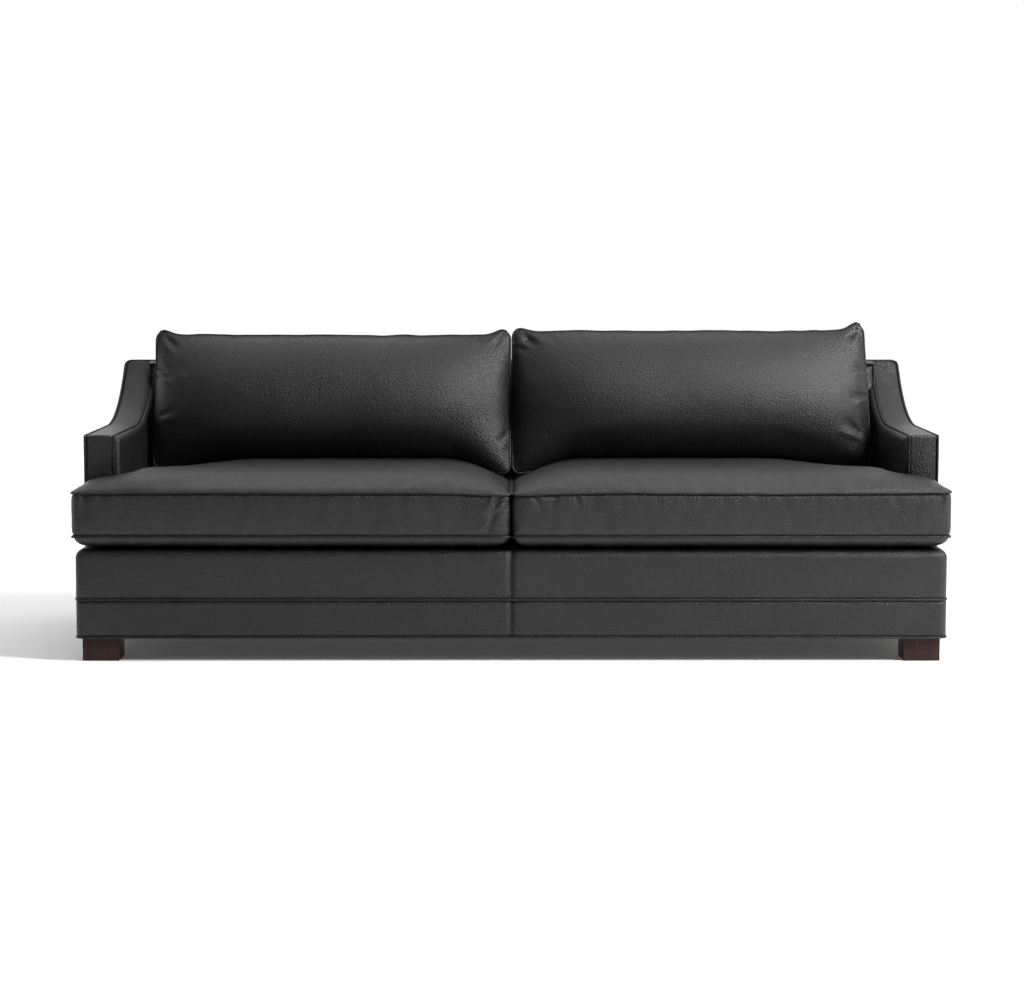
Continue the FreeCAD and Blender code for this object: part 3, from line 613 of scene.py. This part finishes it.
def makePillow(side, label, trees):
    habit = pillowHabit[label]
    halfW = (pillow["outer"] - pillow["inner"]) / 2
    halfH = (pillow["high"] - pillow["low"]) / 2
    columns = round(halfW * 2 / pillow["cell"])
    rows = round(halfH * 2.5 / pillow["cell"])
    rake = sofa["rake"]

    def lay(u, v):
        return (u - 0.5) * 2 * halfW, (v - 0.5) * 2 * halfH, 0

    piece = gridPiece("backCushion_" + label, columns, rows, lay, (0, 0, 1))
    mesh = piece.data
    setMode("EDIT")
    bpy.ops.mesh.select_mode(type="VERT")
    bpy.ops.mesh.select_all(action="SELECT")
    bpy.ops.mesh.extrude_region_move(TRANSFORM_OT_translate={"value": (0, 0, 0.004)})
    setMode("OBJECT")
    for vertex in mesh.vertices:
        vertex.select = abs(vertex.co.x) * 1000 > halfW - 0.5 or abs(vertex.co.y) * 1000 > halfH - 0.5
    setMode("EDIT")
    bpy.ops.mesh.remove_doubles(threshold=0.005)
    bpy.ops.mesh.select_all(action="SELECT")
    bpy.ops.mesh.normals_make_consistent(inside=False)
    setMode("OBJECT")

    # two panels sewn at the rim: small ears, sides a little drawn in, fuller below the middle
    rim = []
    for vertex in mesh.vertices:
        x, y, z = vertex.co * 1000
        s, t = x / halfW, y / halfH
        if abs(s) > 0.9995 or abs(t) > 0.9995:
            rim.append(vertex.index)
        dx = pillow["corner"] - (halfW - abs(x))
        dy = pillow["corner"] - (halfH - abs(y))
        if dx > 0 and dy > 0:
            scale = max(dx, dy) / math.hypot(dx, dy)
            x = math.copysign(halfW - pillow["corner"] + dx * scale, x)
            y = math.copysign(halfH - pillow["corner"] + dy * scale, y)
        rise = habit["armEar"] if s > 0 else habit["gapEar"]
        upper = ease(t, 0.1, 1)
        fromEar = (1 - abs(s)) * halfW - pillow["earIn"]
        y += upper * (rise * math.exp(-(fromEar / pillow["earRun"]) ** 2) - habit["drop"])
        y += upper * (3.4 * wobble(x * side, 0, 0, 190, 14 + side) + 3.0 * wobble(x * side, 0, 0, 60, 17 + side))
        pull = np.interp(t, (-1, 0, 1), habit["drawn"][::-1])
        x -= pull * max(s, 0) ** 4
        fall = max(1 - abs(s) ** pillow["sideFall"], 0.0) ** pillow["sideRound"]
        fall *= max(1 - abs(t) ** pillow["topFall"], 0.0) ** pillow["topRound"]
        depth = fall * pillow["thick"] / 2 * (1 - pillow["fuller"] * t) * (1 if z > 2 else -1)
        depth += 2.4 * fall * wobble(x * side, y, z, 160, 9)
        vertex.co = mm(x, y, depth)
    before = meshPoints(mesh)
    runCloth(piece, rim, pillow)
    for vertex, p in zip(mesh.vertices, capped(before, meshPoints(mesh), pillow["cap"] * 0.001)):
        vertex.co = p
    loose = piece.vertex_groups.new(name="loose")
    loose.add(sorted(set(range(len(mesh.vertices))) - set(rim)), 1.0, "REPLACE")
    applyModifier(piece, "SMOOTH", factor=0.5, iterations=pillow["smoothing"], vertex_group="loose")
    piece.vertex_groups.remove(piece.vertex_groups["loose"])
    sharpSeam(mesh, rim)
    seam = [mesh.vertices[i].co * 1000 for i in orderedRing(mesh, rim)]
    applyModifier(piece, "SUBSURF", levels=1, render_levels=1)

    foot = backY(pillow["foot"], -pillow["middle"])

    def stand(p):
        # from the flat of the panels to its place, leaning, with the foot corners hanging lower
        x, up, out = pillow["inner"] + halfW + p.x, pillow["low"] + halfH + p.y, p.z
        low = 1 - ease(up, *pillow["footHigh"])
        byGap, byArm = 1 - ease(x, *pillow["gapWide"]), ease(x, *pillow["armWide"])
        droop = low * (pillow["gapDroop"] * byGap + pillow["armDroop"] * byArm)
        forward = low * (pillow["gapForward"] * byGap + pillow["armForward"] * byArm)
        y = foot + up * math.sin(rake) - out * math.cos(rake) - forward
        z = pillow["foot"] + up * math.cos(rake) + out * math.sin(rake) - droop
        return onSeat(mm(side * x, y, z), trees)

    for vertex in mesh.vertices:
        p = vertex.co * 1000
        share = ease(abs(p.z), 0, 25) * math.copysign(1, p.z)
        x, up = pillow["inner"] + halfW + p.x, pillow["low"] + halfH + p.y
        p.z += pillow["foldScale"] * share * sum(fold(x, up, spot) for spot in habit["folds"])
        vertex.co = stand(p)
    seam = [stand(p) * 1000 for p in seam]
    if side < 0:
        turnOver(piece)
    drawIn(piece, [seam], pillow["draw"], pillow["drawReach"])
    return piece, seam


meshes = [piece.data for piece in seats]
trees = [BVHTree.FromPolygons([v.co for v in m.vertices], [p.vertices for p in m.polygons]) for m in meshes]
for side, label in ((1, "right"), (-1, "left")):
    piece, seam = makePillow(side, label, trees)
    body = "back_cushion_" + label
    dress(piece, leather, body, "leather", "back_cushion_cover_" + label, "back_cushion_fill_" + label)
    sewWelt("backCushionWelt_" + label, [(seam, True)], 6 + side, body, "back_cushion_welt_" + label)
    print("back cushion", label, len(piece.data.polygons), "faces")


# base
base = {"thick": 3.4, "puff": 1.6, "bandPuff": 0.7, "lip": 51.0, "overlap": 4.0, "ledgeIn": 1103.0,
        "seamRun": 6.0, "seamIn": 1.4, "armGap": 2.6, "endGap": 4.0}


def basePath(inset, sideEnd, count):
    # seen from above: from the centre seam along the front, round the corner and back along the side
    half = sofa["baseHalf"] - inset
    front = sofa["baseFront"] + inset
    bend = max(sofa["baseCorner"] - inset, 1.0)
    arc = bend * math.pi / 2
    lengths = [half - bend, arc, sideEnd - front - bend]
    shares = (0.64, 0.08, 0.28)
    points = []
    for k in range(count + 1):
        t = k / count
        if t <= shares[0]:
            points.append((lengths[0] * t / shares[0], front))
        elif t <= shares[0] + shares[1]:
            turn = (t - shares[0]) / shares[1] * math.pi / 2
            points.append((half - bend + bend * math.sin(turn), front + bend - bend * math.cos(turn)))
        else:
            points.append((half, front + bend + lengths[2] * (t - shares[0] - shares[1]) / shares[2]))
    return points


def swollen(x, y, z, swell):
    # the leather on the front stands out a little, and is drawn in at the centre seam
    pull = ease(x, 0, base["seamRun"])
    swell = swell * pull - base["seamIn"] * (1 - pull)
    return x, y - swell * (1 if y < sofa["baseFront"] + 20 else 0), z


def makeFrontCover():
    # leather over the front edge roll: up from the middle welt, over the rounded edge and onto the deck
    low = sofa["middleWelt"] + sofa["seamGap"]
    bend = sofa["baseCorner"]
    top = sofa["deck"]
    profile = [(0, low + (top - bend - low) * k / 9) for k in range(10)]
    turns = np.linspace(0.2, math.pi / 2, 7)
    profile += [(bend - bend * math.cos(a), top - bend + bend * math.sin(a)) for a in turns]
    profile += [(bend + (base["lip"] - bend) * k / 3, top) for k in range(1, 4)]
    count = 100
    paths = [basePath(inset, sofa["armFront"] - base["armGap"], count) for inset, z in profile]

    def lay(u, v):
        k = round(u * count)
        j = round(v * (len(profile) - 1))
        x, y = paths[j][k]
        z = profile[j][1]
        swell = base["puff"] * math.sin(math.pi * ease(z, low, top)) + 0.8 * wobble(x, y, z, 160, 11)
        return swollen(x, y, z, swell)

    return gridPiece("frontCover_right", count, len(profile) - 1, lay, (0.3, -1, 0.3))


def makeBand():
    low = sofa["bottomWelt"] + sofa["seamGap"]
    high = sofa["middleWelt"] - sofa["seamGap"]
    count = 120
    path = basePath(0, sofa["backPlane"] - base["endGap"], count)

    def lay(u, v):
        x, y = path[round(u * count)]
        z = low + (high - low) * v
        swell = base["puff"] * base["bandPuff"] * math.sin(math.pi * v) + 0.6 * wobble(x, y, z, 160, 12)
        return swollen(x, y, z, swell)

    return gridPiece("baseBand_right", count, 8, lay, (0.3, -1, 0))


def makeLedge():
    # the leather goes on over the ledge in front of the arm, as far as the arm and the deck
    front = sofa["baseFront"] + base["lip"] - base["overlap"]
    side = sofa["baseHalf"] - base["lip"] + base["overlap"]

    def lay(u, v):
        x = base["ledgeIn"] + (side - base["ledgeIn"]) * u
        y = front + (sofa["armFront"] - 0.6 - front) * v
        return x, y, sofa["deck"] - 0.4 + 0.3 * wobble(x, y, 0, 60, 13)

    return gridPiece("ledge", 8, 20, lay, (0, 0, 1))


frontCover = makeFrontCover()
ledge = makeLedge()
only(frontCover)
ledge.select_set(True)
bpy.ops.object.join()
for piece in coverPair(frontCover, base["thick"], "front_cover"):
    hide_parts("front_edge_roll")  # the leather and the foam roll under it are one soft edge
coverPair(makeBand(), base["thick"], "base_band")


def weltRound(z, end, closed):
    # piping round the base at one height
    side = [(x, y, z) for x, y in basePath(sofa["weltOn"], end, 160)]
    other = [(-x, y, z) for x, y, z in reversed(side)]
    back = []
    if closed:
        back = [(sofa["baseHalf"] * (1 - 2 * k / 60), end, z) for k in range(1, 60)]
    return other[:-1] + side[1:] + back, closed


paths = [weltRound(sofa["middleWelt"], sofa["backPlane"] - base["endGap"], False),
         weltRound(sofa["bottomWelt"], sofa["backPlane"] - sofa["weltOn"], True)]
sewWelt("baseWelts", paths, 4, "frame", "base_welts")
print("base covered")


# arms
arm = {"boxIn": 1130.5, "boxWide": 79.6, "boxFoot": 287.0, "boxEnd": 495.5, "thick": 3.2, "puff": 2.2,
       "outInset": 3.0, "outPuff": 1.6, "outRun": 60.0,
       "padThick": 10.0, "padRound": 16.0, "padPuff": 3.5, "padRun": 90.0,
       "padEnd": 330.0, "padLean": 150.0, "padCrest": 460.0, "padInset": 1.0, "toFront": 1.15, "toFoot": 0.9}


def armTop(y, inset):
    # height of the arm at y, drawn in by inset: front corner, level, then the hollow slope
    front = sofa["armFront"] + inset
    top = sofa["armTop"] - inset
    bend = max(sofa["armCorner"] - inset, 1.0)
    if y < front + bend:
        return top - bend + math.sqrt(max(bend ** 2 - (front + bend - y) ** 2, 0.0))
    if y <= sofa["slopeStart"]:
        return top
    radius = sofa["slopeRadius"] + inset
    return sofa["armTop"] + sofa["slopeRadius"] - math.sqrt(radius ** 2 - (y - sofa["slopeStart"]) ** 2)


def armPath(inset, low, end, step):
    # points (y, z) up the front, round the corner, along the top and up the slope
    front = sofa["armFront"] + inset
    top = sofa["armTop"] - inset
    bend = max(sofa["armCorner"] - inset, 1.0)
    radius = sofa["slopeRadius"] + inset
    points = [(front, z) for z in np.linspace(low, top - bend, round((top - low) / step))]
    for a in np.linspace(0.25, math.pi / 2, 6):
        points.append((front + bend - bend * math.cos(a), top - bend + bend * math.sin(a)))
    points += [(y, top) for y in np.linspace(front + bend + step, sofa["slopeStart"], round(380 / step))]
    last = math.asin((end - sofa["slopeStart"]) / radius)
    for a in np.linspace(0, last, round(radius * last / step))[1:]:
        points.append((sofa["slopeStart"] + radius * math.sin(a), top + radius - radius * math.cos(a)))
    return points


def makeArmBoxing():
    path = armPath(0, arm["boxFoot"], arm["boxEnd"], 12)

    def lay(u, v):
        k = round(u * (len(path) - 1))
        y, z = path[k]
        a = path[max(k - 1, 0)]
        b = path[min(k + 1, len(path) - 1)]
        along = Vector((b[0] - a[0], b[1] - a[1])).normalized()
        x = arm["boxIn"] + arm["boxWide"] * v
        swell = arm["puff"] * math.sin(math.pi * v) + 0.7 * wobble(x, y, z, 120, 21) - 1.0
        return shoulder(x, y - along.y * swell, z + along.x * swell)

    return gridPiece("armBoxing_right", len(path) - 1, 8, lay, (0, -1, 1))


def makeOuterArm():
    # outer side of the arm: columns from the foot up to the curved edge
    inset = arm["outInset"]
    front = sofa["armFront"] + inset
    bend = sofa["armCorner"]
    low = sofa["middleWelt"] + sofa["seamGap"]
    x = sofa["baseHalf"] - 0.6
    stops = [front + bend * (1 - math.cos(a)) for a in np.linspace(0, math.pi / 2, 5)]
    stops += list(np.linspace(front + bend + 8, sofa["backPlane"] - 3, 62))

    def lay(u, v):
        y = stops[round(u * (len(stops) - 1))]
        top = armTop(y, inset)
        z = low + (top - low) * v
        edge = min(y - front, top - z, arm["outRun"])
        rounding = math.sqrt(max(1 - (1 - min(edge / arm["outRun"], 1.0)) ** 2, 0.0))
        return shoulder(x + (arm["outPuff"] * rounding + 0.8 * wobble(x, y, z, 170, 22)), y, z)

    return gridPiece("armOutside_right", len(stops) - 1, 30, lay, (1, 0, 0))


def makeInnerArm():
    # padded inside of the arm: flat face, rounded over to the inner welt
    low = sofa["coverFoot"]
    columns = 63
    stops = list(np.linspace(0, 1, columns + 1))
    front = sofa["armFront"] + arm["padInset"]
    crest = armTop(arm["padCrest"], arm["padInset"])
    edge = arm["padRound"]

    def lay(u, v):
        end = min(arm["padEnd"] + arm["padLean"] * v, backY(low + (crest - low) * v, -2))  # by the back
        y = front + (end - front) * stops[round(u * columns)] ** arm["toFront"]
        top = armTop(y, arm["padInset"])
        z = low + (top - low) * v ** arm["toFoot"]
        near = min(y - front, top - z)
        roll = edge - math.sqrt(max(edge ** 2 - max(edge - near, 0.0) ** 2, 0.0))
        puff = arm["padPuff"] * ease(near, 0, arm["padRun"]) + 0.8 * wobble(0, y, z, 150, 23)
        return sofa["armInner"] + roll - puff + 2.0, y, z

    return gridPiece("armInside_right", columns, 30, lay, (-1, 0, 0))


for make, node, thick in ((makeArmBoxing, "arm_boxing", arm["thick"]),
                          (makeOuterArm, "arm_outer_cover", arm["thick"]),
                          (makeInnerArm, "arm_inner_cover", arm["padThick"])):
    for piece in coverPair(make(), thick, node):
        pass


def frameWelts():
    # inner piping: up the arm, over the slope, up the edge of the back and along its top; outer piping the same
    inset = sofa["weltIn"]
    steps = 160
    y = 430.0
    for _ in range(40):  # closes in on the point where the slope meets the raked back
        y = backY(armTop(y, inset), inset)
    side = [(sofa["innerWelt"], a, b) for a, b in armPath(inset, sofa["deck"] + 0.5, y, 8)]
    head = sofa["backLip"] - inset
    foot = side[-1][2]
    side += [(sofa["innerWelt"], backY(z, inset), z) for z in np.linspace(foot, head, 6)[1:]]
    top = [(sofa["innerWelt"] * (1 - 2 * k / steps), backY(head, inset), head) for k in range(1, steps)]
    inner = side + top + [(-x, a, b) for x, a, b in reversed(side)]
    edge = sofa["baseHalf"] - sofa["weltOn"]
    side = [(edge, a, b) for a, b in armPath(inset, sofa["middleWelt"] + 3, sofa["backPlane"] - inset - 1, 8)]
    head = side[-1][2]
    top = [(edge * (1 - 2 * k / steps), sofa["backPlane"] - inset, head) for k in range(1, steps)]
    outer = side + top + [(-x, a, b) for x, a, b in reversed(side)]
    return inner, [shoulder(*p) for p in outer]


for path, name, node in zip(frameWelts(), ("innerWelt", "outerWelt"), ("inner_frame_welt", "outer_frame_welt")):
    sewWelt(name, [(path, False)], 8, "frame", node)
print("arms covered")


# back
backRest = {"half": 1127.0, "lipGap": 8.0, "puff": 3.0, "padThick": 14.0, "thick": 3.4, "top": 792.0,
            "stripHalf": 1133.5, "stripRise": 8.0, "stripPuff": 1.6}


def makeInsideBack():
    low = sofa["coverFoot"]
    top = sofa["backLip"] - backRest["lipGap"]

    def lay(u, v):
        x = (u - 0.5) * 2 * backRest["half"]
        z = low + (top - low) * v
        puff = backRest["puff"] * math.sin(math.pi * v) + 1.0 * wobble(x, 0, z, 200, 31)
        return x, backY(z, 2 - puff), z

    return gridPiece("insideBack", 120, 28, lay, (0, -1, 0))


def makeOutsideBack():
    low = sofa["bottomWelt"] + 2

    def lay(u, v):
        x = (u - 0.5) * 2 * (sofa["baseHalf"] - 1)
        z = low + (backRest["top"] - low) * v
        swell = 0.8 * wobble(x, 0, z, 240, 32) - 0.6
        return shoulder(x, sofa["backPlane"] + swell, z)

    return gridPiece("outsideBack", 120, 36, lay, (0, 1, 0))


def makeTopStrip():
    # the strip along the top of the back, turned down at its ends to meet the arms
    front = backY(sofa["backLip"], 0) + 2
    end = sofa["backPlane"] - 2
    flap = 4  # rows of the turned-down end
    count = 120

    def lay(u, v):
        k = round(u * count)
        y = front + (end - front) * v
        fromEnd = min(k, count - k)
        x = backRest["stripHalf"] * np.interp(k, (flap, count - flap), (-1, 1))
        top = sofa["backLip"] + backRest["stripRise"] * v - 1.5 + backRest["stripPuff"] * math.sin(math.pi * v)
        top += 0.6 * wobble(x, y, 0, 150, 33)
        if fromEnd < flap:
            low = armTop(y, 0) - 3
            top = low + (top - low) * fromEnd / flap
        return x, y, top

    return gridPiece("backTopStrip", count, 6, lay, (0, 0, 1))


for make, node, thick in ((makeInsideBack, "inside_back_cover", backRest["padThick"]),
                          (makeOutsideBack, "outside_back_cover", backRest["thick"]),
                          (makeTopStrip, "back_top_boxing", backRest["thick"])):
    piece = make()
    applyModifier(piece, "SOLIDIFY", thickness=thick * 0.001, offset=-1)
    dress(piece, leather, "frame", "leather", node)
print("back covered")


# deck and dust cover
deckPad = {"half": 1109.0, "front": -440.0, "rear": 311.0, "thick": 36.0, "drop": 4.0, "dropRun": 30.0}
lining = {"half": 1203.0, "front": -479.0, "depth": 968.0, "height": 65.3, "sag": 1.2,
          "legSide": 1080.0, "legFront": -358.0, "legRear": 368.0}


def makeDeck():
    def lay(u, v):
        x = (u - 0.5) * 2 * deckPad["half"]
        y = deckPad["front"] + (deckPad["rear"] - deckPad["front"]) * v
        edge = min(x + deckPad["half"], deckPad["half"] - x, y - deckPad["front"], deckPad["rear"] - y)
        z = sofa["deck"] - 0.6 - deckPad["drop"] * (1 - ease(edge, 0, deckPad["dropRun"]))
        return x, y, z + 0.4 * wobble(x, y, 0, 90, 41)

    return gridPiece("seatDeck", 120, 44, lay, (0, 0, 1))


deck = makeDeck()
applyModifier(deck, "SOLIDIFY", thickness=deckPad["thick"] * 0.001, offset=-1)
dress(deck, deckCloth, "frame", "deck_cloth", "seat_deck")
bpy.ops.object.shade_smooth_by_angle(angle=math.radians(50))  # a crisp rim, with no bright line along it


def makeDust():
    def lay(u, v):
        x = (u - 0.5) * 2 * lining["half"]
        y = lining["front"] + lining["depth"] * v
        sag = lining["sag"] * math.sin(math.pi * u) * math.sin(math.pi * v)
        return x, y, lining["height"] - sag

    return gridPiece("dustCover", 96, 40, lay, (0, 0, -1))


dust = makeDust()
# cut out round the legs
cutAway(dust, lambda x, y: abs(x) > lining["legSide"] and not lining["legFront"] <= y <= lining["legRear"])
setMode("OBJECT")
dress(dust, dustCloth, "frame", "dust_cloth", "dust_cover")
print("deck and dust cover made")


# legs
leg = {"side": 101.6, "height": 65.8, "round": 1.8, "out": 1145.2, "front": -421.2, "back": 430.1}
for label, x, y in (("front_leg_right", leg["out"], leg["front"]), ("back_leg_right", leg["out"], leg["back"]),
                    ("front_leg_left", -leg["out"], leg["front"]), ("back_leg_left", -leg["out"], leg["back"])):
    bpy.ops.mesh.primitive_cube_add(size=1, location=mm(x, y, leg["height"] / 2))
    block = bpy.context.object
    block.name = block.data.name = label.replace("_leg_", "Leg_")
    block.scale = (leg["side"] / 1000, leg["side"] / 1000, leg["height"] / 1000)
    bpy.ops.object.transform_apply(location=True, rotation=True, scale=True)
    applyModifier(block, "BEVEL", width=leg["round"] / 1000, segments=3)
    dress(block, legWood, "frame", "leg_wood", label)
    bpy.ops.object.shade_smooth_by_angle(angle=math.radians(35))
print("legs made")


# frame, springs and zips keep their solids
finishes = (
    (frameWood, "frame_wood", ("front_rail", "back_rail", "rear_spring_rail", "corner_blocks", "arm_spacers",
                               "back_post", "back_center_post", "back_top_rail")),
    (plywood, "frame_wood", ("side_rail", "seat_stretchers")),
    (plywood, "plywood", ("arm_outer_panel", "arm_inner_panel")),
    (boltSteel, "bolt_steel", ("leg_bolts",)), (boltSteel, "spring_steel", ("spring_clips",)),
    (springSteel, "spring_steel", ("seat_springs",)), (webbing, "webbing", ("back_webbing",)),
    (zipMetal, "zip_metal", ("seat_zip_slider",)), (zipTape, "zip_tape", ("seat_zip_left", "seat_zip_right")),
)
for name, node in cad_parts.items():
    if node.hide_render:
        continue
    material, slotName = next((m, s) for m, s, names in finishes if name.startswith(names))
    node.data.materials.clear()
    node.data.materials.append(material)
print("solids dressed")


# floor, light and camera
studio = {"floor": "#fdfdfd", "glow": 0.3, "near": 0.042, "glowFrom": -6.5, "glowTo": -3.0, "front": 0.044,
          "backdrop": 1.02, "roomFrom": -0.35, "roomTo": 0.55, "above": 0.86, "right": 0.03, "overhead": 4.0,
          "floorSize": 40, "floorPlace": (0, 6, 0)}
# place and target, width and height in m, power in W
lamps = {"keySoftbox": ((4.1, -2.3, 4.3), (0.2, 0.1, 0.7), 1.2, 3.2, 585),
         "frontSoftbox": ((-0.6, -5.6, 3.6), (0, 0, 0.5), 3.4, 1.4, 8)}
view = {"place": (0.002, -7.389, 1.136), "down": 5.54, "sensor": 36, "lens": 88.1}


def makeStudio():
    bpy.ops.mesh.primitive_plane_add(size=studio["floorSize"], location=studio["floorPlace"])
    floor = bpy.context.object
    floor.name = "studioFloor"
    material, tree, paint = startMaterial("paleStudioFloor")
    connect(tree, paint, {"Base Color": srgb(studio["floor"]), "Roughness": 0.9, "Specular IOR Level": 0.0})
    rays = addNode(tree, "LightPath")
    seen = addNode(tree, "Math", {0: rays.outputs["Is Camera Ray"], 1: rays.outputs["Is Glossy Ray"]},
                   operation="ADD")
    seen = addNode(tree, "Math", {0: rays.outputs["Is Transmission Ray"], 1: seen.outputs[0]},
                   operation="ADD")
    # the floor glows faintly near the sofa, which lightens the shadow under it, and behind the sofa it glows up to
    # the white of the backdrop
    depth = addNode(tree, "SeparateXYZ", {0: addNode(tree, "TexCoord").outputs["Object"]})
    far = addNode(tree, "MapRange",
                  {"Value": depth.outputs["Y"], "From Min": studio["glowFrom"], "From Max": studio["glowTo"],
                   "To Min": studio["near"], "To Max": studio["glow"]}, interpolation_type="SMOOTHSTEP")
    glow = addNode(tree, "Math", {0: seen.outputs[0], 1: far.outputs[0]}, operation="MULTIPLY")
    light = addNode(tree, "Emission", {"Strength": glow.outputs[0]})
    both = addNode(tree, "AddShader", {0: paint.outputs[0], 1: light.outputs[0]})
    connect(tree, tree.nodes["Material Output"], {"Surface": both.outputs[0]})
    floor.data.materials.append(material)

    # white backdrop behind, a darker room in front, bright overhead, a little brighter to the right
    world = bpy.data.worlds.new("studioWorld")
    scene.world = world
    world.use_nodes = True
    tree = world.node_tree
    way = addNode(tree, "TexCoord").outputs["Generated"]
    axes = addNode(tree, "SeparateXYZ", {0: way})
    depth = addNode(tree, "MapRange",
                    {"Value": axes.outputs["Y"], "From Min": studio["roomFrom"], "From Max": studio["roomTo"],
                     "To Min": studio["front"], "To Max": studio["backdrop"]}, interpolation_type="SMOOTHSTEP")
    above = addNode(tree, "Math", {0: axes.outputs["Z"], 1: 0.0}, operation="MAXIMUM")
    high = addNode(tree, "Math", {0: above.outputs[0], 1: studio["overhead"]}, operation="POWER")
    lifted = addNode(tree, "Math", {0: high.outputs[0], 1: studio["above"], 2: depth.outputs[0]},
                     operation="MULTIPLY_ADD")
    power = addNode(tree, "Math", {0: axes.outputs["X"], 1: studio["right"], 2: lifted.outputs[0]},
                    operation="MULTIPLY_ADD")
    connect(tree, tree.nodes["Background"], {"Color": (1, 1, 1, 1), "Strength": power.outputs[0]})

    for name, (place, target, wide, tall, watts) in lamps.items():
        bpy.ops.object.light_add(type="AREA", location=place)
        lamp = bpy.context.object
        lamp.name = name
        lamp.data.shape = "RECTANGLE"
        lamp.data.size = wide
        lamp.data.size_y = tall
        lamp.data.energy = watts
        lamp.rotation_euler = (Vector(target) - Vector(place)).to_track_quat("-Z", "Y").to_euler()

    bpy.ops.object.camera_add(location=view["place"], rotation=(math.radians(90 - view["down"]), 0, 0))
    camera = bpy.context.object
    camera.data.sensor_width = view["sensor"]
    camera.data.lens = view["lens"]
    scene.camera = camera


makeStudio()
scene.view_settings.view_transform = "Standard"
